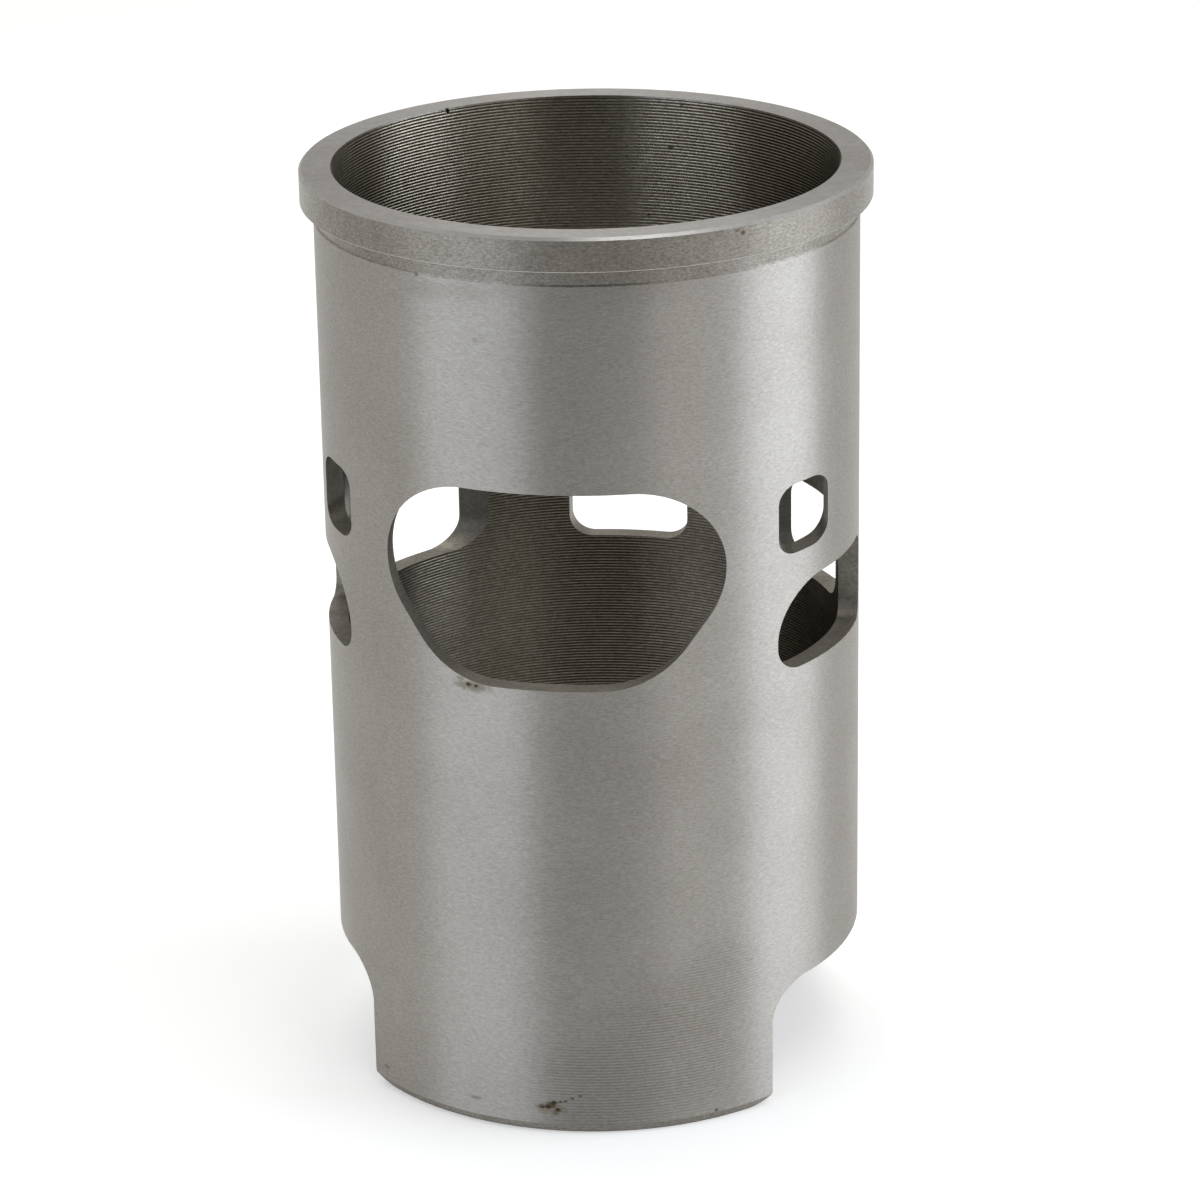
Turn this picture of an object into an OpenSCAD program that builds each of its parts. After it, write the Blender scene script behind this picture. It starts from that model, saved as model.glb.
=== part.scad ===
// Cylinder liner of a two-stroke engine: a flanged sleeve with ported walls and an arched skirt.
// It is one casting, turned all over. The bore axis is Z and the exhaust side faces -Y.
// The liner stands on the two feet of its skirt at Z = 0, and every port is measured down from
// the deck face at the top, as on a port timing drawing.

/* [Barrel] */
// Overall length, from the skirt's feet to the deck face
liner_length = 151.5; // [145:0.5:175]
// Bore diameter
bore_d = 81; // [79:0.1:82.5]
// Outside diameter of the barrel
barrel_d = 87.6; // [86.5:0.1:89]

/* [Flange] */
// Flange diameter
flange_d = 91.8; // [90.5:0.1:96]
// Flange thickness
flange_h = 5.4; // [4:0.1:8]
// Chamfer round the deck face
deck_chamfer = 0.45; // [0.2:0.05:1]
// Edge broken at the mouth of the bore
bore_break = 0.3; // [0.1:0.05:0.6]
// Broken edge round the underside of the flange
seat_edge = 0.1; // [0.05:0.05:0.3]
// Height of the relief turned under the flange
relief_h = 2.6; // [1:0.1:5]
// Depth of the relief below the ground barrel
relief_depth = 0.25; // [0.1:0.05:0.5]

/* [Exhaust port] */
// Upper edge, below the deck
exhaust_top = 41.7; // [38:0.1:45]
// Lower edge, below the deck
exhaust_bottom = 74.2; // [72:0.1:78]
// Width across the port
exhaust_w = 54; // [46:0.5:56]
// Radius of the upper shoulders
exhaust_top_r = 13.8; // [10:0.1:15]
// Radius of the lower corners
exhaust_bottom_r = 15.4; // [12:0.1:16]
// Length of the straight lower edge
exhaust_sill = 17.6; // [10:0.1:22]

/* [Booster exhaust ports] */
// Upper edge, below the deck
booster_top = 45.1; // [42:0.1:48]
// Lower edge, below the deck
booster_bottom = 56.65; // [54:0.05:58]
// Width across the cut
booster_w = 8.8; // [7:0.1:10]
// Distance of the cut's middle line from the bore axis
booster_offset = 31.7; // [31:0.1:33]
// Angle that the cut fans out from the exhaust port's
booster_splay = 13; // [8:0.5:16]
// Corner radius
booster_r = 3; // [1:0.1:4]

/* [Main transfer ports] */
// Upper edge, below the deck
main_top = 61.7; // [60:0.1:61.8]
// Lower edge, below the deck
main_bottom = 76.2; // [76.1:0.1:80]
// Rear edge, behind the bore axis
main_rear = 1.4; // [0:0.1:4]
// Radius of the two rear corners
main_rear_r = 2.8; // [1:0.1:5]
// Front edge of the right port, ahead of the bore axis
right_front = 27.4; // [20:0.1:28]
// Radius of the right port's front upper corner, which clears the booster port
right_shoulder_r = 9.4; // [4:0.1:10.2]
// Radius of the right port's front lower corner
right_heel_r = 4.2; // [1:0.1:5]
// Front edge of the left port, which is cut shorter
left_front = 26; // [20:0.1:28]
// Radius of the left port's front upper corner, which is the blunter of the two
left_shoulder_r = 10.8; // [4:0.1:11]
// Radius of the left port's front lower corner
left_heel_r = 3.4; // [1:0.1:3.6]

/* [Rear transfer ports] */
// Upper edge, below the deck
rear_top = 61.9; // [60:0.1:64]
// Lower edge, below the deck
rear_bottom = 78.1; // [74:0.1:82]
// Front edge, behind the bore axis
rear_front = 11.3; // [8:0.1:14]
// Rear edge, behind the bore axis
rear_rear = 32.9; // [28:0.1:34]
// Corner radius
rear_r = 5; // [2:0.1:7]

/* [Boost port] */
// Upper edge, below the deck
boost_top = 61.9; // [60:0.1:66]
// Lower edge, below the deck
boost_bottom = 78.5; // [74:0.1:82]
// Width across the port
boost_w = 20.6; // [14:0.1:24]
// Distance of the port's middle line from the bore axis, to the left
boost_offset = 0.3; // [0:0.1:1]
// Corner radius
boost_r = 4; // [1:0.1:6]

/* [Skirt] */
// Crown of the side arches, below the deck
arch_top = 130.7; // [120:0.1:138]
// Span of the side arches between the two feet
arch_span = 57; // [46:0.2:64]
// Radius of the upper corners of an arch
arch_r = 6.5; // [2:0.1:8]
// Radius of the corners of the feet
foot_r = 2.4; // [0.5:0.1:3]
// Height of the lead-in taper round the feet
lead_h = 1.6; // [0.5:0.1:3]
// Depth of the lead-in taper
lead_depth = 1; // [0.3:0.1:1.5]

/* [Hidden] */
$fn = 180;
corner_fn = 48;

bore_r = bore_d / 2;
barrel_r = barrel_d / 2;
flange_r = flange_d / 2;
seat_z = liner_length - flange_h;
relief_z = seat_z - relief_h;

// Reach of a cutter from the bore axis, past the outer wall
cut_reach = flange_r + 4;
// How far the arch cutter passes below the feet
arch_overcut = 5;
// Where the turned faces start and end: on the plain wall between the boost and a rear transfer port
seam_angle = 64;

// The exhaust port's flanks run a hair inside the tangent, so they cross the two arcs cleanly
flank_inset = 0.02;

// Height of a level given by its depth below the deck
function level(depth) = liner_length - depth;

// Direction, in degrees, of the outward normal on the tangent that rests against two circles
function tangent_bearing(from, from_r, to, to_r) =
    let (step = to - from)
    atan2(step.y, step.x) + acos((from_r - to_r) / norm(step));

// Point of a circle in a given direction from its centre
function on_circle(centre, r, bearing) = centre + r * [cos(bearing), sin(bearing)];

// What rounding takes off a square corner that stands at the origin, between +x and +y
module corner_waste(r) {
    difference() {
        square(r);
        translate([r, r]) circle(r = r, $fn = corner_fn);
    }
}

// Window with straight sides and a radius of its own at each corner:
// lower left, lower right, upper right, upper left
module window_outline(left, right, bottom, top, radii) {
    corners = [[left, bottom], [right, bottom], [right, top], [left, top]];
    difference() {
        translate([left, bottom]) square([right - left, top - bottom]);
        for (i = [0 : 3]) translate(corners[i]) rotate(90 * i) corner_waste(radii[i]);
    }
}

// Exhaust port seen from the front: broad round shoulders that run in to a narrower sill
module exhaust_outline() {
    shoulder = [exhaust_w / 2 - exhaust_top_r, level(exhaust_top) - exhaust_top_r];
    heel = [exhaust_sill / 2, level(exhaust_bottom) + exhaust_bottom_r];
    flank = tangent_bearing(shoulder, exhaust_top_r, heel, exhaust_bottom_r);
    half = [
        [shoulder.x, level(exhaust_top)],
        on_circle(shoulder, exhaust_top_r - flank_inset, flank),
        on_circle(heel, exhaust_bottom_r - flank_inset, flank),
        [heel.x, level(exhaust_bottom)]
    ];
    for (side = [0, 1]) mirror([side, 0]) {
        translate(shoulder) circle(r = exhaust_top_r, $fn = 2 * corner_fn);
        translate(heel) circle(r = exhaust_bottom_r, $fn = 2 * corner_fn);
    }
    polygon([for (p = half) p, for (i = [3 : -1 : 0]) [-half[i].x, half[i].y]]);
}

// Arch between the feet seen from the side, with the foot corners rounded where it opens below
module arch_outline() {
    half_span = arch_span / 2;
    window_outline(-half_span, half_span, -arch_overcut, level(arch_top),
        [foot_r, foot_r, arch_r, arch_r]);
    for (side = [0, 1]) mirror([side, 0]) translate([half_span, 0]) corner_waste(foot_r);
}

// Cuts an outline drawn in (x, z) through the wall on the exhaust side
module cut_forward() {
    rotate([90, 0, 0]) linear_extrude(cut_reach) children();
}

// Cuts an outline drawn in (y, z) straight through the wall on the right, or on the left
module cut_sideways(side) {
    rotate([90, 0, 90]) mirror([0, 0, side]) linear_extrude(cut_reach) children();
}

// Turned body: barrel, flange, relief under the flange, lead-in taper and bore in one section
module turned_sleeve() {
    rotate([0, 0, seam_angle]) rotate_extrude() polygon([
        [bore_r, 0],
        [barrel_r - lead_depth, 0],
        [barrel_r, lead_h],
        [barrel_r, relief_z - relief_depth],
        [barrel_r - relief_depth, relief_z],
        [barrel_r - relief_depth, seat_z],
        [flange_r - seat_edge, seat_z],
        [flange_r, seat_z + seat_edge],
        [flange_r, liner_length - deck_chamfer],
        [flange_r - deck_chamfer, liner_length],
        [bore_r + bore_break, liner_length],
        [bore_r, liner_length - bore_break]
    ]);
}

// Exhaust port, and the two small booster ports that fan out beside it
module exhaust_cutters() {
    cut_forward() exhaust_outline();
    for (side = [0, 1]) mirror([side, 0, 0]) rotate([0, 0, booster_splay]) cut_forward()
        window_outline(booster_offset - booster_w / 2, booster_offset + booster_w / 2,
            level(booster_bottom), level(booster_top), [for (i = [0 : 3]) booster_r]);
}

// Main transfer port on one side, from its own front edge, lower and upper front corners
module main_transfer(side, front, heel_r, shoulder_r) {
    cut_sideways(side) window_outline(-front, main_rear, level(main_bottom), level(main_top),
        [heel_r, main_rear_r, main_rear_r, shoulder_r]);
}

// Four transfer ports, cut through the two sides, and the boost port at the back
module transfer_cutters() {
    main_transfer(0, right_front, right_heel_r, right_shoulder_r);
    main_transfer(1, left_front, left_heel_r, left_shoulder_r);
    for (side = [0, 1]) cut_sideways(side)
        window_outline(rear_front, rear_rear, level(rear_bottom), level(rear_top),
            [for (i = [0 : 3]) rear_r]);
    rotate([0, 0, 180]) cut_forward()
        window_outline(boost_offset - boost_w / 2, boost_offset + boost_w / 2,
            level(boost_bottom), level(boost_top), [for (i = [0 : 3]) boost_r]);
}

module liner() {
    color("#8e8c87") difference() {
        turned_sleeve();
        exhaust_cutters();
        transfer_cutters();
        for (side = [0, 1]) cut_sideways(side) arch_outline();
    }
}

liner();
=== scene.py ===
"""Looks of a flanged, ported cylinder liner for a two-stroke engine, standing on its two feet.

The liner is one casting of grey iron. Its barrel is ground, its flange and deck are turned, its
bore is rough bored with a 0.53 mm feed, and its ports are milled. Lengths named here are in
millimetres unless they say metres, and what Blender gets is in metres.
"""

import logging
import math
from dataclasses import dataclass
from enum import Enum

import bmesh
import bpy
from mathutils import Matrix, Vector


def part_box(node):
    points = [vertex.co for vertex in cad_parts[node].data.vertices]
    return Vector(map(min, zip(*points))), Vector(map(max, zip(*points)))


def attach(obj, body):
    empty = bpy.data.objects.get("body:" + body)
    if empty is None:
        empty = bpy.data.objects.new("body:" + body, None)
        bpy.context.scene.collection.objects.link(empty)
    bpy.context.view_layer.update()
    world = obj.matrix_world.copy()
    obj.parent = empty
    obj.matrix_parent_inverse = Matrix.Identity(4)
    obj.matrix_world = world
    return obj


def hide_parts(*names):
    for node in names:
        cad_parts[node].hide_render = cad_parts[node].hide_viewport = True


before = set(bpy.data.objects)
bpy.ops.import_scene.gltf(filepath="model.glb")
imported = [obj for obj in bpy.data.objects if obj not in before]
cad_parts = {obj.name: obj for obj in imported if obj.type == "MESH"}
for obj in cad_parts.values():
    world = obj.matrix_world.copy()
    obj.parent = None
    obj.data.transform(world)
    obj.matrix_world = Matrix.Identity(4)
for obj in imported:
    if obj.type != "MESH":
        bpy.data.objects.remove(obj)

LOG = logging.getLogger("liner")
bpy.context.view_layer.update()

MM = 0.001
# Vertices of the CAD solid that are nearer than this are one
WELD = 0.001
# Radii of the walls that carry stains and painted shade: the barrel, the flange's rim, the grooved
# bore, and the hollow of the nick, whose mark is painted shade
BARREL_WALL = 43.8
FLANGE_WALL = 45.9
BORE_WALL = 40.53
NICK_WALL = 40.7
# Cosines past which a face looks along a direction, and past which it leans to it
FACING = 0.9
LEANING = 0.5
# How near to its own radius or height a face has to lie
NEAR = 0.1
# Faces that meet at more than this many degrees keep a sharp edge between them
SHARP_ANGLE = 30
# Share of their slope that the flange's lower edge and the relief's lower end show, as they are
# worn round
EDGE_WEAR = 0.4
RELIEF_WEAR = 0.15
# A quarter turn of the tangent, so that the reflection spreads across the tool marks
ACROSS_THE_LAY = 0.25
# The wave texture turns a coordinate into a phase with this factor
WAVE_PHASE = 20.0
# Colour of the painted shade in the hollows of the turning marks, in place of their own shading
PAINTED_GROOVE_SHADE = "#2b271e"
# Size of the crumbs that make the edge of a stain ragged
CRUMB = 0.9
# How metallic the iron still looks under a full stain, or under the full painted shade in the nick
STAINED_METAL = 0.25
# Middle of the liner, in metres, which the lamps face
LINER_MIDDLE = Vector((0, 0, 75.75 * MM))


def linear(colour: str) -> tuple[float, float, float, float]:
    """Turns an sRGB hex colour into the linear values that Blender's sockets take.

    Args:
        colour: The colour as "#rrggbb".

    Returns:
        Linear red, green and blue, with an alpha of 1.
    """
    parts = [int(colour[i : i + 2], 16) / 255 for i in (1, 3, 5)]
    r, g, b = (p / 12.92 if p <= 0.04045 else ((p + 0.055) / 1.055) ** 2.4 for p in parts)
    return r, g, b, 1.0


def add_node(tree: bpy.types.NodeTree, kind: str, settings: dict | None = None,
             inputs: dict | None = None) -> bpy.types.Node:
    """Adds a node with its settings, and fills or links its inputs.

    Args:
        tree: The tree that the node joins.
        kind: The node's type name.
        settings: Properties of the node, by name.
        inputs: A value or another node's output for each input, by name or number.

    Returns:
        The new node.
    """
    node = tree.nodes.new(kind)
    for name, value in (settings or {}).items():
        setattr(node, name, value)
    for name, value in (inputs or {}).items():
        if isinstance(value, bpy.types.NodeSocket):
            tree.links.new(value, node.inputs[name])
        else:
            node.inputs[name].default_value = value
    return node


def on_wall(radius: float, azimuth: float, height: float) -> Vector:
    """Gives a point of the sleeve's wall.

    Args:
        radius: Distance from the bore axis, in millimetres.
        azimuth: Degrees round the axis from the exhaust side, counted towards +X.
        height: Height above the feet, in millimetres.

    Returns:
        The point in metres.
    """
    turn = math.radians(azimuth)
    return Vector((radius * math.sin(turn), -radius * math.cos(turn), height)) * MM


def turned_section(section: list[tuple[float, float]], steps: int) -> bmesh.types.BMesh:
    """Spins a closed section round the bore axis.

    Args:
        section: Corners of the section as (radius, height), in metres.
        steps: Number of steps in the full turn.

    Returns:
        A closed mesh with its faces outwards. The caller frees it.
    """
    bm = bmesh.new()
    ring = [bm.verts.new((r, 0.0, z)) for r, z in section]
    edges = [bm.edges.new((a, b)) for a, b in zip(ring, ring[1:] + ring[:1])]
    bmesh.ops.spin(bm, geom=ring + edges, cent=(0, 0, 0), axis=(0, 0, 1), angle=2 * math.pi,
                   steps=steps, use_merge=True)
    bmesh.ops.recalc_face_normals(bm, faces=bm.faces)
    return bm


def new_object(bm: bmesh.types.BMesh, name: str) -> bpy.types.Object:
    """Makes an object of a bmesh, at the origin, and frees the bmesh.

    Args:
        bm: The finished bmesh.
        name: Name of the object and its mesh.

    Returns:
        The object, linked to the scene.
    """
    mesh = bpy.data.meshes.new(name)
    bm.to_mesh(mesh)
    bm.free()
    piece = bpy.data.objects.new(name, mesh)
    bpy.context.scene.collection.objects.link(piece)
    return piece


class Surface(Enum):
    """Which tool made a face of the liner. The value is the number of its material slot."""

    BARREL = 0
    FLANGE = 1
    DECK = 2
    BORE = 3
    PORT = 4
    EDGE = 5


@dataclass(frozen=True)
class Mark:
    """A stain, smear, pit or patch at one place on a wall.

    Attributes:
        azimuth: Degrees round the axis from the exhaust side, counted towards +X.
        height: Height above the feet, in millimetres.
        width: Half its width along the wall, in millimetres.
        tall: Half its height, in millimetres.
        strength: How far it covers the metal, from 0 to 1.
    """

    azimuth: float
    height: float
    width: float
    tall: float
    strength: float = 1.0


@dataclass(frozen=True)
class Patches:
    """Marks of one kind on one wall.

    Attributes:
        radius: Radius of the wall that carries them, in millimetres.
        ragged: How far their edges wander, from 0 to 1.
        marks: The marks.
    """

    radius: float
    ragged: float
    marks: tuple[Mark, ...]

    def mask(self, tree: bpy.types.NodeTree, place: bpy.types.NodeSocket) -> bpy.types.NodeSocket:
        """Adds the nodes that tell how far a point lies in these marks.

        Args:
            tree: The material's node tree.
            place: Object coordinates.

        Returns:
            A factor from 0 outside the marks to each mark's own strength.
        """
        crumbs = add_node(tree, "ShaderNodeTexNoise", {"noise_dimensions": "3D"}, {
            "Vector": place, "Scale": 1 / (CRUMB * MM), "Detail": 4.0, "Roughness": 0.7}).outputs[0]
        wander = add_node(tree, "ShaderNodeMapRange", {}, {
            "Value": crumbs, "To Min": -self.ragged, "To Max": self.ragged}).outputs[0]
        covered = None
        for mark in self.marks:
            centre = on_wall(self.radius, mark.azimuth, mark.height)
            offset = add_node(tree, "ShaderNodeVectorMath", {"operation": "SUBTRACT"},
                              {0: place, 1: centre})
            half = Vector((mark.width, mark.width, mark.tall)) * MM
            scaled = add_node(tree, "ShaderNodeVectorMath", {"operation": "DIVIDE"},
                              {0: offset.outputs[0], 1: half})
            length = add_node(tree, "ShaderNodeVectorMath", {"operation": "LENGTH"},
                              {0: scaled.outputs[0]})
            edge = add_node(tree, "ShaderNodeMath", {"operation": "ADD"},
                            {0: length.outputs["Value"], 1: wander})
            inside = add_node(tree, "ShaderNodeMapRange", {"interpolation_type": "SMOOTHSTEP"}, {
                "Value": edge.outputs[0], "From Min": 0.35, "From Max": 1.0,
                "To Min": mark.strength, "To Max": 0.0}).outputs[0]
            if covered is None:
                covered = inside
            else:
                covered = add_node(tree, "ShaderNodeMath", {"operation": "MAXIMUM"},
                                   {0: covered, 1: inside}).outputs[0]
        return covered


@dataclass(frozen=True)
class Stains(Patches):
    """Marks of one colour on one wall.

    Attributes:
        colour: Colour of the marks.
    """

    colour: str


@dataclass(frozen=True)
class IronFinish:
    """One finish of the grey iron. The tool that cut it decides its lay, grain and shine.

    Attributes:
        name: Name of the material.
        dark: Colour in the hollows of the grain.
        light: Colour on its crests.
        roughness: Roughness on the crests and in the hollows.
        lay: Anisotropy of the tool marks, which run round the axis. 0 has no lay.
        grain: Length along the marks, height across them and depth of the grain, in millimetres.
        speckle: Size, in millimetres, and strength of the dark flecks of graphite and scale.
        clouds: Size, in millimetres, and strength of the wide patches of tone.
        feed: Pitch, in millimetres, depth and shade of the turning marks that are left, if any. The
        shade, from 0 to 1, is how far painted shade darkens their hollows.
        feed_start: Height at which a crest of the turning marks stands, in millimetres.
        feed_marks: Where the turning marks are left. None leaves them all over.
        faced: Whether the marks run round the axis on a flat face, and not up a wall.
        stains: Stains on this finish; on the milled finish, the painted shade in the nick.
    """

    name: str
    dark: str
    light: str
    roughness: tuple[float, float]
    lay: float
    grain: tuple[float, float, float]
    speckle: tuple[float, float] = (0.3, 0.0)
    clouds: tuple[float, float] = (20.0, 0.2)
    feed: tuple[float, float, float] | None = None
    feed_start: float = 0.0
    feed_marks: Patches | None = None
    faced: bool = False
    stains: tuple[Stains, ...] = ()

    def build(self) -> bpy.types.Material:
        """Builds the material.

        Returns:
            The material, which reads Object coordinates.
        """
        material = bpy.data.materials.new(self.name)
        material.use_nodes = True
        tree = material.node_tree
        shader = tree.nodes["Principled BSDF"]
        place = add_node(tree, "ShaderNodeTexCoord").outputs["Object"]
        length, height, depth = self.grain
        stretched = add_node(tree, "ShaderNodeMapping", {}, {
            "Vector": place,
            "Scale": (1 / (length * MM), 1 / (length * MM), 1 / (height * MM))}).outputs[0]
        grain = add_node(tree, "ShaderNodeTexNoise", {}, {
            "Vector": stretched, "Scale": 1.0, "Detail": 3.0, "Roughness": 0.6}).outputs[0]
        relief = add_node(tree, "ShaderNodeMath", {"operation": "MULTIPLY"},
                          {0: grain, 1: depth}).outputs[0]
        tone = self.tone(tree, place, grain)
        colour = add_node(tree, "ShaderNodeMix", {"data_type": "RGBA"}, {
            0: tone, 6: linear(self.dark), 7: linear(self.light)}).outputs[2]
        if self.feed is not None:
            _, cut, shade = self.feed
            hollow = self.hollows(tree, place)
            relief = add_node(tree, "ShaderNodeMath", {"operation": "MULTIPLY_ADD"},
                              {0: hollow, 1: -cut, 2: relief}).outputs[0]
            # Painted shade: the hollows of the turning marks are darkened towards the painted shade
            # colour
            groove_shade = add_node(tree, "ShaderNodeMath", {"operation": "MULTIPLY"},
                            {0: hollow, 1: shade}).outputs[0]
            colour = add_node(tree, "ShaderNodeMix", {"data_type": "RGBA"}, {
                0: groove_shade, 6: colour, 7: linear(PAINTED_GROOVE_SHADE)}).outputs[2]
        bump = add_node(tree, "ShaderNodeBump", {}, {
            "Height": relief, "Strength": 1.0, "Distance": MM})
        rough = add_node(tree, "ShaderNodeMapRange", {}, {
            "Value": tone, "To Min": self.roughness[1], "To Max": self.roughness[0]}).outputs[0]
        colour, stained = self.stain(tree, place, colour)
        if stained is None:
            shader.inputs["Metallic"].default_value = 1.0
        else:
            bare = add_node(tree, "ShaderNodeMapRange", {}, {
                "Value": stained, "To Min": 1.0, "To Max": STAINED_METAL}).outputs[0]
            tree.links.new(bare, shader.inputs["Metallic"])
        tree.links.new(colour, shader.inputs["Base Color"])
        tree.links.new(rough, shader.inputs["Roughness"])
        tree.links.new(bump.outputs[0], shader.inputs["Normal"])
        if self.lay:
            round_axis = add_node(tree, "ShaderNodeTangent",
                                  {"direction_type": "RADIAL", "axis": "Z"})
            tree.links.new(round_axis.outputs[0], shader.inputs["Tangent"])
            shader.inputs["Anisotropic"].default_value = self.lay
            shader.inputs["Anisotropic Rotation"].default_value = ACROSS_THE_LAY
        return material

    def hollows(self, tree: bpy.types.NodeTree,
                place: bpy.types.NodeSocket) -> bpy.types.NodeSocket:
        """Adds the nodes that tell how deep a point lies in the turning marks.

        Args:
            tree: The material's node tree.
            place: Object coordinates.

        Returns:
            A factor from 0, on a crest or where no marks are left, to 1, at the bottom of a mark.
        """
        pitch = self.feed[0]
        kind = {"wave_type": "RINGS", "rings_direction": "Z"} if self.faced else {
            "wave_type": "BANDS", "bands_direction": "Z"}
        wave = add_node(tree, "ShaderNodeTexWave", {**kind, "wave_profile": "SIN"}, {
            "Vector": place, "Scale": 2 * math.pi / (WAVE_PHASE * pitch * MM),
            "Phase Offset": -2 * math.pi * self.feed_start / pitch}).outputs["Fac"]
        if self.feed_marks is None:
            return wave
        return add_node(tree, "ShaderNodeMath", {"operation": "MULTIPLY"}, {
            0: wave, 1: self.feed_marks.mask(tree, place)}).outputs[0]

    def tone(self, tree: bpy.types.NodeTree, place: bpy.types.NodeSocket,
             grain: bpy.types.NodeSocket) -> bpy.types.NodeSocket:
        """Adds the nodes that say how light the metal is at a point.

        Args:
            tree: The material's node tree.
            place: Object coordinates.
            grain: The grain's noise.

        Returns:
            A factor from 0, dark, to 1, light.
        """
        size, strength = self.clouds
        clouds = add_node(tree, "ShaderNodeTexNoise", {}, {
            "Vector": place, "Scale": 1 / (size * MM), "Detail": 3.0, "Roughness": 0.55}).outputs[0]
        tone = add_node(tree, "ShaderNodeMapRange", {}, {
            "Value": grain, "From Min": 0.25, "From Max": 0.75,
            "To Min": 0.5 * strength, "To Max": 1.0 - 0.5 * strength}).outputs[0]
        drift = add_node(tree, "ShaderNodeMapRange", {}, {
            "Value": clouds, "From Min": 0.3, "From Max": 0.7,
            "To Min": -0.5 * strength, "To Max": 0.5 * strength}).outputs[0]
        tone = add_node(tree, "ShaderNodeMath", {"operation": "ADD"},
                        {0: tone, 1: drift}).outputs[0]
        size, strength = self.speckle
        if strength:
            flecks = add_node(tree, "ShaderNodeTexNoise", {}, {
                "Vector": place, "Scale": 1 / (size * MM),
                "Detail": 2.0, "Roughness": 0.8}).outputs[0]
            dark = add_node(tree, "ShaderNodeMapRange", {}, {
                "Value": flecks, "From Min": 0.42, "From Max": 0.68,
                "To Min": 0.0, "To Max": strength}).outputs[0]
            tone = add_node(tree, "ShaderNodeMath", {"operation": "SUBTRACT", "use_clamp": True},
                            {0: tone, 1: dark}).outputs[0]
        return tone

    def stain(self, tree: bpy.types.NodeTree, place: bpy.types.NodeSocket,
              colour: bpy.types.NodeSocket
              ) -> tuple[bpy.types.NodeSocket, bpy.types.NodeSocket | None]:
        """Adds the nodes that lay the stains, and any painted shade, over the metal's colour.

        Args:
            tree: The material's node tree.
            place: Object coordinates.
            colour: Colour of the clean metal.

        Returns:
            The stained colour, and a factor for how far any stain covers the metal. The factor is
            None where the finish has no stains.
        """
        covered = None
        for stain in self.stains:
            mask = stain.mask(tree, place)
            colour = add_node(tree, "ShaderNodeMix", {"data_type": "RGBA"}, {
                0: mask, 6: colour, 7: linear(stain.colour)}).outputs[2]
            if covered is None:
                covered = mask
            else:
                covered = add_node(tree, "ShaderNodeMath", {"operation": "MAXIMUM"},
                                   {0: covered, 1: mask}).outputs[0]
        return colour, covered


RUST = Stains(colour="#54431f", radius=BARREL_WALL, ragged=0.6, marks=(
    Mark(-17.5, 77.1, 1.0, 0.65), Mark(-15.7, 77.0, 0.8, 0.5),
    Mark(-16.6, 76.9, 4.2, 1.2, 0.55), Mark(-19.3, 77.9, 1.2, 0.5, 0.5),
    Mark(-1.3, 5.0, 1.5, 0.9), Mark(-3.2, 4.7, 1.1, 0.7, 0.9),
    Mark(0.2, 4.2, 1.1, 0.7, 0.9), Mark(-0.4, 3.7, 0.9, 0.6, 0.7),
    Mark(-1.2, 4.5, 3.4, 1.7, 0.45)))
SOOT = Stains(colour="#25221b", radius=BARREL_WALL, ragged=0.5, marks=(
    Mark(-17.5, 77.1, 0.5, 0.38), Mark(-15.7, 77.0, 0.42, 0.3),
    Mark(-0.6, 5.5, 0.8, 0.55), Mark(-2.0, 4.7, 0.8, 0.5), Mark(0.1, 4.3, 0.5, 0.35),
    Mark(-3.1, 4.6, 0.5, 0.3, 0.9), Mark(0.7, 5.7, 0.5, 0.3, 0.9),
    Mark(1.8, 5.9, 0.5, 0.3, 0.9), Mark(3.3, 6.4, 0.45, 0.28, 0.8), Mark(4.95, 6.9, 0.4, 0.3, 0.7),
    Mark(-18.5, 4.5, 1.5, 0.45, 0.45), Mark(-44.7, 3.8, 1.3, 0.6, 0.4),
    Mark(34.7, 1.9, 0.5, 0.35, 0.8), Mark(-13.7, 134.0, 0.9, 0.5, 0.2),
    Mark(-27.2, 143.1, 0.5, 0.3, 0.7)))
FILM = Stains(colour="#7a7362", radius=BARREL_WALL, ragged=0.6, marks=(
    Mark(-23.7, 141.0, 6.0, 2.2, 0.22), Mark(-14.5, 141.6, 5.5, 2.0, 0.2),
    Mark(-7.0, 142.3, 4.0, 1.2, 0.15)))
RIM_RUST = Stains(colour="#4c3a20", radius=FLANGE_WALL, ragged=0.6, marks=(
    Mark(40.7, 150.1, 0.7, 0.5), Mark(39.4, 150.6, 0.7, 0.4, 0.6)))
BORE_SPOTS = Stains(colour="#1d1b17", radius=BORE_WALL, ragged=0.4, marks=(
    Mark(169.0, 143.0, 0.75, 0.45), Mark(166.1, 150.4, 0.4, 0.3, 0.8),
    Mark(179.9, 141.0, 0.35, 0.3, 0.8), Mark(148.6, 143.9, 0.35, 0.3, 0.8),
    Mark(174.7, 131.0, 0.4, 0.35, 0.9), Mark(179.8, 142.8, 0.3, 0.25, 0.7)))
# Painted shade: a dark mark in the hollow of the nick at the mouth of the bore
NICK_PAINTED_SHADE = Stains(colour="#17150f", radius=NICK_WALL, ragged=0.2, marks=(
    Mark(-135.9, 151.0, 1.4, 1.6),))
# Where the grinding wheel has left the turning marks under it
ROUGH_PATCH = Patches(radius=BARREL_WALL, ragged=0.35, marks=(
    Mark(12.0, 9.0, 18.0, 13.0), Mark(24.0, 13.0, 18.0, 16.0), Mark(35.0, 24.0, 11.0, 12.0, 0.8)))

# The real lines of the grinding and turning lay are finer than a pixel, so the grain of these
# finishes is drawn coarser than it is

# Grey iron, cylindrically ground: satin, with a fine lay round the axis that draws each light out
# into an upright band. In the rough patch, painted shade darkens the hollows of the turning marks
GROUND_IRON = IronFinish("ground_grey_iron", "#918d87", "#adaaa5", (0.43, 0.49), 0.91,
                         (0.9, 0.2, 0.005), speckle=(0.35, 0.3), clouds=(18.0, 0.2),
                         feed=(0.53, 0.01, 0.3), feed_marks=ROUGH_PATCH,
                         stains=(FILM, RUST, SOOT))
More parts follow.
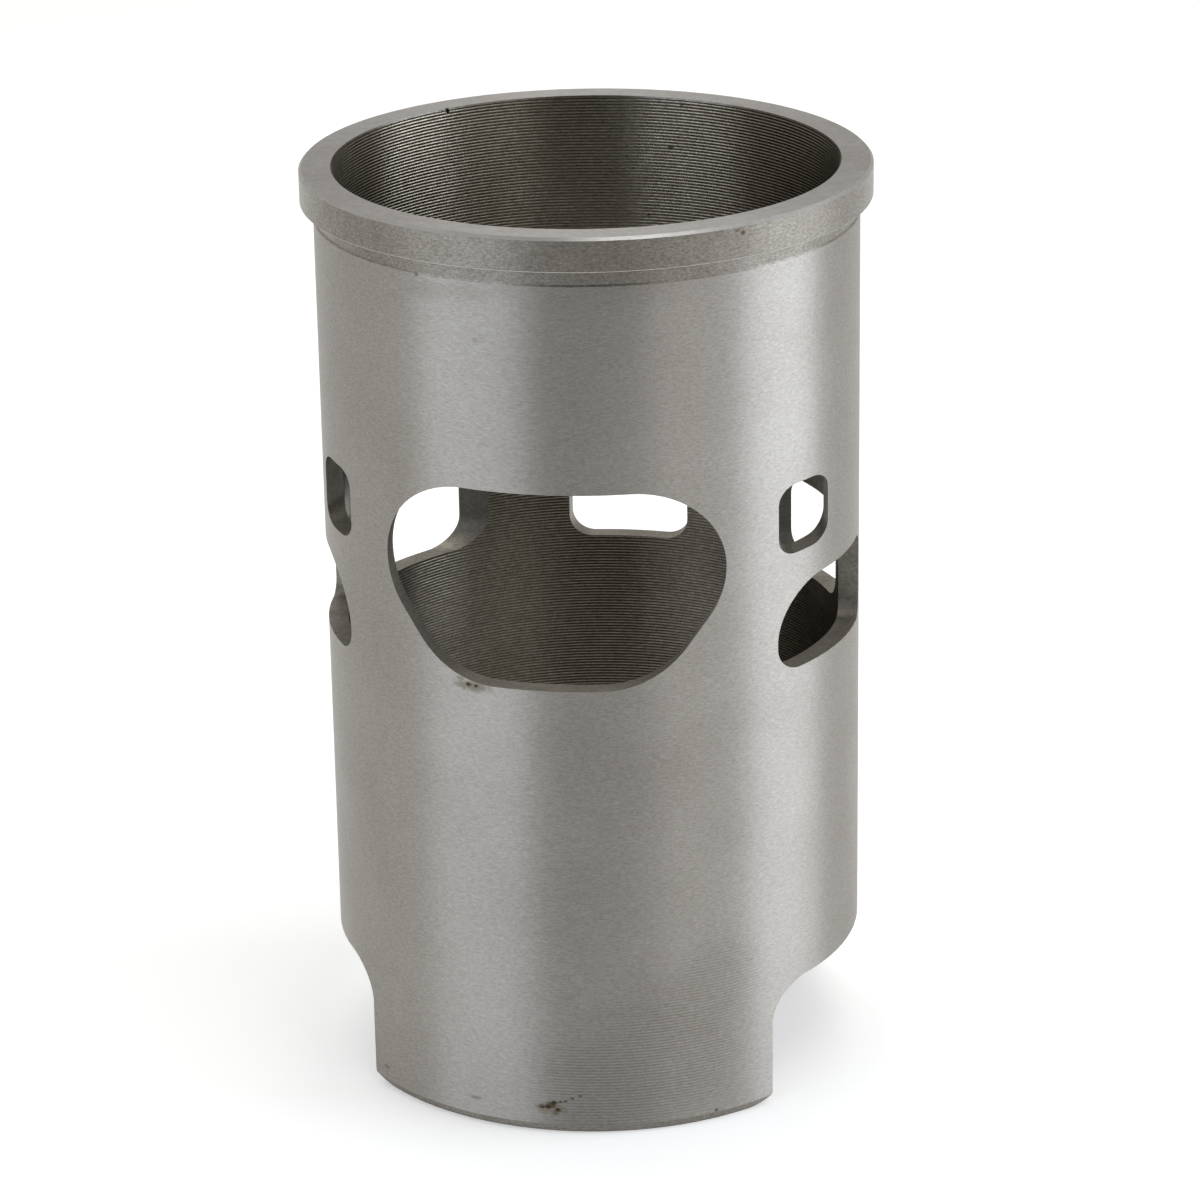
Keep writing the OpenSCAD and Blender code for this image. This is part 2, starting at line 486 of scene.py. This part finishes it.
# Grey iron, turned and left with its bloom: duller and darker, mottled all over
TURNED_IRON = IronFinish("turned_flange_grey_iron", "#6c675f", "#99958f", (0.33, 0.41), 0.75,
                         (0.7, 0.25, 0.007), speckle=(0.26, 0.36), clouds=(5.0, 0.15),
                         stains=(RIM_RUST,))
# Grey iron, faced across the deck: fine rings that run with the bore, with faint painted shade
# in their hollows
FACED_IRON = IronFinish("faced_grey_iron", "#989592", "#aeadab", (0.45, 0.55), 0.5,
                        (1.2, 0.6, 0.006), speckle=(0.6, 0.15), clouds=(10.0, 0.35),
                        feed=(0.22, 0.003, 0.05), faced=True)
# Grey iron, rough bored: each turn of the tool leaves a ridge that catches the light, and painted
# shade darkens the grooves between them
BORED_IRON = IronFinish("bored_grey_iron", "#756e62", "#a19b8f", (0.27, 0.34), 0.3,
                        (1.2, 0.3, 0.004), speckle=(0.35, 0.5), clouds=(9.0, 0.2),
                        feed=(0.527, 0.0, 0.65), feed_start=-2.0, stains=(BORE_SPOTS,))
# Grey iron, milled through the wall: matt, with no lay that the eye can follow. The nick's hollow
# carries painted shade
MILLED_IRON = IronFinish("milled_grey_iron", "#757168", "#9a968e", (0.45, 0.58), 0.0,
                         (0.8, 0.5, 0.016), speckle=(0.4, 0.4), clouds=(5.0, 0.5),
                         stains=(NICK_PAINTED_SHADE,))
# Grey iron, burnished where a sharp edge has been rubbed, and with a painted highlight along the
# edge: brighter than the faces beside it
WORN_AND_HIGHLIT_EDGE_IRON = IronFinish("burnished_edge_painted_highlight_grey_iron", "#a3a29f", "#bfbebc", (0.35, 0.42), 0.4,
                       (0.9, 0.3, 0.004), clouds=(3.0, 0.4))
# In the order of the slots that Surface numbers
FINISHES = (GROUND_IRON, TURNED_IRON, FACED_IRON, BORED_IRON, MILLED_IRON, WORN_AND_HIGHLIT_EDGE_IRON)


@dataclass(frozen=True)
class BoringTool:
    """The tool that bores the liner and leaves its feed marks as real grooves.

    Attributes:
        bore_radius: Radius of the finished bore, in millimetres.
        feed: Advance in one turn, which is the pitch of the grooves.
        scallop: Depth of a groove below its two crests.
        skin: How far the crests stand outside the bore's own facets.
        core: How far inside the bore the cut's own inner wall stands.
        steps: Steps in a full turn.
        overrun: How far the cut runs past both ends of the liner.
    """

    bore_radius: float = 40.5
    feed: float = 0.527
    scallop: float = 0.07
    skin: float = 0.02
    core: float = 10.0
    steps: int = 128
    overrun: float = 2.0

    def crest(self) -> float:
        """Radius of the crests, in millimetres."""
        return self.bore_radius + self.skin

    def slope(self, radius: float) -> float:
        """Steepness of the scallop where it has this radius.

        Args:
            radius: Distance from the bore axis, in millimetres.

        Returns:
            The slope's tangent, which is greatest on a crest and 0 at the bottom of a groove.
        """
        rise = min(max((self.crest() + self.scallop - radius) / self.scallop, 0.0), 1.0)
        return 4 * self.scallop / self.feed * math.sqrt(rise)

    def cutter(self, length: float) -> bpy.types.Object:
        """Builds the space that the tool sweeps.

        Args:
            length: Length of the liner, in millimetres.

        Returns:
            A closed ring with a grooved outside, as an object.
        """
        inner = (self.bore_radius - self.core) * MM
        start = -self.overrun
        turns = round((length + 2 * self.overrun) / self.feed)
        section = [(inner, start * MM)]
        for turn in range(turns):
            z = start + turn * self.feed
            section.append((self.crest() * MM, z * MM))
            section.append(((self.crest() + self.scallop) * MM, (z + self.feed / 2) * MM))
        end = start + turns * self.feed
        section += [(self.crest() * MM, end * MM), (inner, end * MM)]
        return new_object(turned_section(section, self.steps), "boring_cut")


@dataclass
class Liner:
    """The sleeve: the CAD solid, bored with real feed marks, nicked at its mouth and dressed.

    Attributes:
        barrel_radius: Radius of the ground barrel, in millimetres.
        flange_seat: Height of the flange's underside.
        relief: Height of the relief's lower edge.
        rim: How far the flange's edges stand outside the barrel, at the least.
        taper: How far the taper at the feet runs in from the barrel, at the most.
        nick_azimuth: Where the mouth of the bore is nicked, in degrees from the exhaust side.
        nick_radius: Radius of the ball that the nick is shaped from.
        nick_shape: How far that ball is drawn out along each axis.
        nick_drop: How far the nick's middle lies below the deck.
        tool: The boring tool.
    """

    barrel_radius: float = BARREL_WALL
    flange_seat: float = 146.1
    relief: float = 143.3
    rim: float = 1.0
    taper: float = 1.2
    nick_azimuth: float = -135.9
    nick_radius: float = 0.6
    nick_shape: tuple[float, float, float] = (0.85, 1.2, 1.7)
    nick_drop: float = 0.1
    tool: BoringTool = BoringTool()

    def build(self) -> bpy.types.Object:
        """Builds and dresses the liner.

        Returns:
            The finished piece, which stands for the CAD node.
        """
        low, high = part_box("liner")
        length = (high.z - low.z) / MM
        bm = bmesh.new()
        bm.from_mesh(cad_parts["liner"].data)
        bmesh.ops.remove_doubles(bm, verts=bm.verts, dist=WELD * MM)
        piece = new_object(bm, "liner_sleeve")
        self.cut(piece, self.tool.cutter(length))
        self.cut(piece, self.nick(length))
        for finish in FINISHES:
            piece.data.materials.append(finish.build())
        self.dress(piece.data, length)
        return piece

    def cut(self, piece: bpy.types.Object, cutter: bpy.types.Object) -> None:
        """Takes a cutter's volume out of the piece, and removes the cutter.

        Args:
            piece: The object to cut.
            cutter: The object whose volume is cut away.
        """
        modifier = piece.modifiers.new(cutter.name, "BOOLEAN")
        modifier.object = cutter
        modifier.operation = "DIFFERENCE"
        modifier.solver = "EXACT"
        with bpy.context.temp_override(object=piece, active_object=piece):
            bpy.ops.object.modifier_apply(modifier=modifier.name)
        mesh = cutter.data
        bpy.data.objects.remove(cutter)
        bpy.data.meshes.remove(mesh)

    def nick(self, length: float) -> bpy.types.Object:
        """Builds the small chip that is missing at the mouth of the bore.

        Args:
            length: Length of the liner, in millimetres.

        Returns:
            The chip as an object.
        """
        bm = bmesh.new()
        bmesh.ops.create_icosphere(bm, subdivisions=1, radius=self.nick_radius * MM)
        bmesh.ops.scale(bm, verts=bm.verts, vec=self.nick_shape)
        place = on_wall(self.tool.bore_radius, self.nick_azimuth, length - self.nick_drop)
        turn = Matrix.Rotation(math.radians(self.nick_azimuth), 4, "Z")
        bmesh.ops.transform(bm, verts=bm.verts, matrix=Matrix.Translation(place) @ turn)
        return new_object(bm, "mouth_nick")

    def surface_of(self, centre: Vector, normal: Vector, length: float) -> Surface:
        """Tells which tool made a face.

        Args:
            centre: Middle of the face, in metres.
            normal: The face's normal.
            length: Length of the liner, in millimetres.

        Returns:
            The surface that the face belongs to.
        """
        radius = math.hypot(centre.x, centre.y) / MM
        height = centre.z / MM
        outward = (centre.x * normal.x + centre.y * normal.y) / (radius * MM)
        if outward < -FACING and radius < self.tool.bore_radius + 2 * NEAR:
            return Surface.BORE
        if normal.z > FACING and height > length - NEAR:
            return Surface.DECK
        above_seat = height > self.flange_seat + NEAR / 10
        if abs(normal.z) > LEANING and above_seat and radius > self.barrel_radius + self.rim:
            return Surface.EDGE
        past_barrel = radius > self.barrel_radius + NEAR or height > self.relief - NEAR
        if abs(outward) > LEANING and past_barrel:
            return Surface.FLANGE
        if outward > 0.98 and abs(radius - self.barrel_radius) < NEAR:
            return Surface.BARREL
        if outward > LEANING and radius > self.barrel_radius - self.taper:
            return Surface.FLANGE
        return Surface.PORT

    def blended_normals(self, mesh: bpy.types.Mesh) -> list[Vector]:
        """Blends the normals round each vertex, where a wide flat face outweighs a narrow facet.

        Args:
            mesh: The mesh, whose faces are flat.

        Returns:
            A normal for each face corner. Faces that meet at a sharp angle aren't blended.
        """
        limit = math.cos(math.radians(SHARP_ANGLE))
        normals = [face.normal.copy() for face in mesh.polygons]
        weights = [face.area ** 2 for face in mesh.polygons]
        around: list[list[int]] = [[] for _ in mesh.vertices]
        for face in mesh.polygons:
            for vertex in face.vertices:
                around[vertex].append(face.index)
        soft = []
        for face in mesh.polygons:
            own = normals[face.index]
            for vertex in face.vertices:
                blend = Vector((0, 0, 0))
                for other in around[vertex]:
                    if own.dot(normals[other]) > limit:
                        blend += normals[other] * weights[other]
                soft.append(blend.normalized() if blend.length > 0 else own)
        return soft

    def dress(self, mesh: bpy.types.Mesh, length: float) -> None:
        """Gives each face its finish, and each turned face the normals of its true round form.

        Args:
            mesh: The liner's mesh.
            length: Length of the liner, in millimetres.
        """
        for face in mesh.polygons:
            face.material_index = self.surface_of(face.center, face.normal, length).value
            face.use_smooth = True
        soft = self.blended_normals(mesh)
        for face in mesh.polygons:
            surface = Surface(face.material_index)
            if surface is Surface.PORT or abs(face.normal.z) > 0.99:
                continue
            outwards = Vector((face.center.x, face.center.y, 0))
            side = 1.0 if face.normal.dot(outwards) > 0 else -1.0
            for corner in face.loop_indices:
                at = mesh.vertices[mesh.loops[corner].vertex_index].co
                radial = Vector((at.x, at.y, 0)).normalized() * side
                steep = face.normal.z / math.sqrt(1 - face.normal.z ** 2)
                if surface is Surface.FLANGE:
                    steep *= RELIEF_WEAR
                if surface is Surface.EDGE and steep < 0:
                    steep *= EDGE_WEAR
                if surface is Surface.BORE:
                    steep = math.copysign(self.tool.slope(math.hypot(at.x, at.y) / MM), steep)
                soft[corner] = (radial + Vector((0, 0, steep))).normalized()
        mesh.normals_split_custom_set(soft)


@dataclass(frozen=True)
class StudioFinish:
    """A plain finish of a sheet that lies or hangs near the liner.

    Attributes:
        name: Name of the material.
        colour: Its colour.
        roughness: Its roughness.
        shine: Its specular level.
        glow: Brightness that it adds where the camera, the metal or glass looks at it.
    """

    name: str
    colour: str
    roughness: float
    shine: float
    glow: float = 0.0

    def build(self) -> bpy.types.Material:
        """Builds the material.

        Returns:
            The material.
        """
        material = bpy.data.materials.new(self.name)
        material.use_nodes = True
        tree = material.node_tree
        shader = tree.nodes["Principled BSDF"]
        shader.inputs["Base Color"].default_value = linear(self.colour)
        shader.inputs["Roughness"].default_value = self.roughness
        shader.inputs["Specular IOR Level"].default_value = self.shine
        if self.glow:
            ray = add_node(tree, "ShaderNodeLightPath").outputs
            looked_at = ray["Is Camera Ray"]
            for kind in ("Is Glossy Ray", "Is Transmission Ray"):
                looked_at = add_node(tree, "ShaderNodeMath", {"operation": "MAXIMUM"},
                                     {0: looked_at, 1: ray[kind]}).outputs[0]
            glow = add_node(tree, "ShaderNodeMath", {"operation": "MULTIPLY"},
                            {0: looked_at, 1: self.glow}).outputs[0]
            shader.inputs["Emission Color"].default_value = linear("#ffffff")
            tree.links.new(glow, shader.inputs["Emission Strength"])
        return material


# White paper, evenly lit, so that it is white to the eye and grey only in the shadow
WHITE_PAPER = StudioFinish("matt_white_paper", "#f3f3f2", 0.9, 0.1, glow=0.3)
# Black cotton with a dull nap: it swallows nearly all the light, and has no shine
BLACK_COTTON = StudioFinish("black_cotton_cloth", "#3a3a3a", 1.0, 0.0)


@dataclass(frozen=True)
class SoftBox:
    """A studio softbox that faces the liner.

    Attributes:
        name: Name of the lamp.
        azimuth: Degrees round from the camera, counted to the camera's right.
        elevation: Degrees above the floor.
        distance: Distance from the liner's middle, in metres.
        width: Width, in metres.
        height: Height, in metres.
        radiance: How bright its face is, where 1 is white.
        colour: Colour of its light.
    """

    name: str
    azimuth: float
    elevation: float
    distance: float
    width: float
    height: float
    radiance: float
    colour: str = "#ffffff"

    def build(self, camera_azimuth: float) -> None:
        """Hangs the lamp.

        Args:
            camera_azimuth: The camera's own azimuth, in degrees from -Y.
        """
        lamp = bpy.data.lights.new(self.name, "AREA")
        lamp.shape = "RECTANGLE"
        lamp.size = self.width
        lamp.size_y = self.height
        lamp.energy = self.radiance * math.pi * self.width * self.height
        lamp.color = linear(self.colour)[:3]
        turn = math.radians(self.azimuth + camera_azimuth)
        rise = math.radians(self.elevation)
        reach = Vector((math.sin(turn) * math.cos(rise), -math.cos(turn) * math.cos(rise),
                        math.sin(rise)))
        holder = bpy.data.objects.new(self.name, lamp)
        holder.location = LINER_MIDDLE + reach * self.distance
        holder.rotation_euler = reach.to_track_quat("Z", "Y").to_euler()
        holder.visible_camera = False
        bpy.context.scene.collection.objects.link(holder)


@dataclass
class Studio:
    """The floor, the camera and the soft light round the liner.

    Attributes:
        camera_azimuth: Degrees of the camera from -Y, counted towards +X.
        camera_elevation: Degrees of the camera above the deck, seen from the deck's middle.
        camera_distance: Distance of the camera from the deck's middle, in millimetres.
        dip: Degrees that the camera looks down.
        pan: Degrees that it looks to the right of the bore axis.
        roll: Degrees that it leans.
        lens: Focal length, in millimetres.
        sensor: Width of the camera's sensor, in millimetres.
        sight: How far the camera sees, in metres.
        floor_reach: How far the floor runs to the back and to both sides, in metres.
        floor_front: How far it runs towards the camera, in metres.
        room: Brightness of the room, where 1 is white.
        room_colour: Colour of the room.
        cloth_distance: Distance of the black cloth in front of the bore axis, in metres.
        cloth_radius: Radius of the cloth, in metres.
        lamps: The lamps.
    """

    camera_azimuth: float = 9.65
    camera_elevation: float = 15.048
    camera_distance: float = 723.86
    dip: float = 20.61
    pan: float = 0.087
    roll: float = -0.978
    lens: float = 135.41
    sensor: float = 36.0
    sight: float = 20.0
    floor_reach: float = 3.0
    floor_front: float = 0.65
    room: float = 0.62
    room_colour: str = "#fffbf5"
    cloth_distance: float = 1.6
    cloth_radius: float = 5.6
    lamps: tuple[SoftBox, ...] = (
        SoftBox("left_softbox", -50.0, 17.0, 1.2, 0.98, 0.72, 3.0, "#ecf4ff"),
        SoftBox("right_softbox", 85.0, 15.0, 1.2, 0.86, 0.62, 5.4, "#ecf4ff"),
        SoftBox("key_softbox", 43.0, 20.0, 1.2, 0.74, 0.6, 1.6),
        SoftBox("overhead_softbox", -177.0, 67.0, 1.2, 0.66, 0.81, 2.0),
        SoftBox("front_strip", 35.0, 66.0, 1.2, 0.6, 0.46, 2.5),
    )

    def build(self) -> None:
        """Sets up the floor, the light and the camera."""
        self.lay_floor()
        self.light_room()
        self.hang_cloth()
        for lamp in self.lamps:
            lamp.build(self.camera_azimuth)
        self.place_camera()
        bpy.context.scene.view_settings.view_transform = "Standard"
        LOG.info("the studio has a floor, a cloth, a camera and %d lamps", len(self.lamps))

    def towards_camera(self) -> Matrix:
        """Turn about the bore axis from -Y to the camera's side."""
        return Matrix.Rotation(math.radians(self.camera_azimuth), 3, "Z")

    def lay_floor(self) -> None:
        """Lays the sheet of white paper under the feet. It ends short of the camera."""
        bm = bmesh.new()
        corners = [(-self.floor_reach, -self.floor_front), (self.floor_reach, -self.floor_front),
                   (self.floor_reach, self.floor_reach), (-self.floor_reach, self.floor_reach)]
        bm.faces.new([bm.verts.new((x, y, 0.0)) for x, y in corners])
        bmesh.ops.rotate(bm, verts=bm.verts, cent=(0, 0, 0), matrix=self.towards_camera())
        floor = new_object(bm, "floor")
        floor.data.materials.append(WHITE_PAPER.build())

    def light_room(self) -> None:
        """Fills the room with an even light."""
        world = bpy.data.worlds.new("studio")
        world.use_nodes = True
        bpy.context.scene.world = world
        background = world.node_tree.nodes["Background"]
        background.inputs["Color"].default_value = linear(self.room_colour)
        background.inputs["Strength"].default_value = self.room

    def hang_cloth(self) -> None:
        """Hangs the black cloth behind the camera and the lamps. The camera doesn't see it."""
        bm = bmesh.new()
        bmesh.ops.create_circle(bm, cap_ends=True, segments=64, radius=self.cloth_radius)
        upright = Matrix.Rotation(math.radians(90), 3, "X")
        bmesh.ops.rotate(bm, verts=bm.verts, cent=(0, 0, 0), matrix=upright)
        bmesh.ops.translate(bm, verts=bm.verts, vec=(0, -self.cloth_distance, LINER_MIDDLE.z))
        bmesh.ops.rotate(bm, verts=bm.verts, cent=(0, 0, 0), matrix=self.towards_camera())
        cloth = new_object(bm, "black_cloth")
        cloth.visible_camera = False
        cloth.data.materials.append(BLACK_COTTON.build())

    def place_camera(self) -> None:
        """Puts the camera where the photograph was taken from."""
        lens = bpy.data.cameras.new("camera")
        lens.sensor_width = self.sensor
        lens.lens = self.lens
        lens.clip_end = self.sight
        camera = bpy.data.objects.new("camera", lens)
        turn = math.radians(self.camera_azimuth)
        rise = math.radians(self.camera_elevation)
        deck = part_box("liner")[1].z
        away = self.camera_distance * MM
        camera.location = (away * math.cos(rise) * math.sin(turn),
                           -away * math.cos(rise) * math.cos(turn), deck + away * math.sin(rise))
        heading = Matrix.Rotation(turn - math.radians(self.pan), 3, "Z")
        tilt = Matrix.Rotation(math.radians(90 - self.dip), 3, "X")
        lean = Matrix.Rotation(math.radians(self.roll), 3, "Z")
        camera.rotation_euler = (heading @ tilt @ lean).to_euler()
        bpy.context.scene.collection.objects.link(camera)
        bpy.context.scene.camera = camera


def main() -> None:
    """Builds the studio and the liner, and ties the liner to the CAD frame."""
    logging.basicConfig(level=logging.INFO, format="%(name)s: %(message)s")
    Studio().build()
    sleeve = Liner().build()
    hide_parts("liner")
    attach(sleeve, "root")
    LOG.info("%s has %d faces", sleeve.name, len(sleeve.data.polygons))


if __name__ == "__main__":
    main()
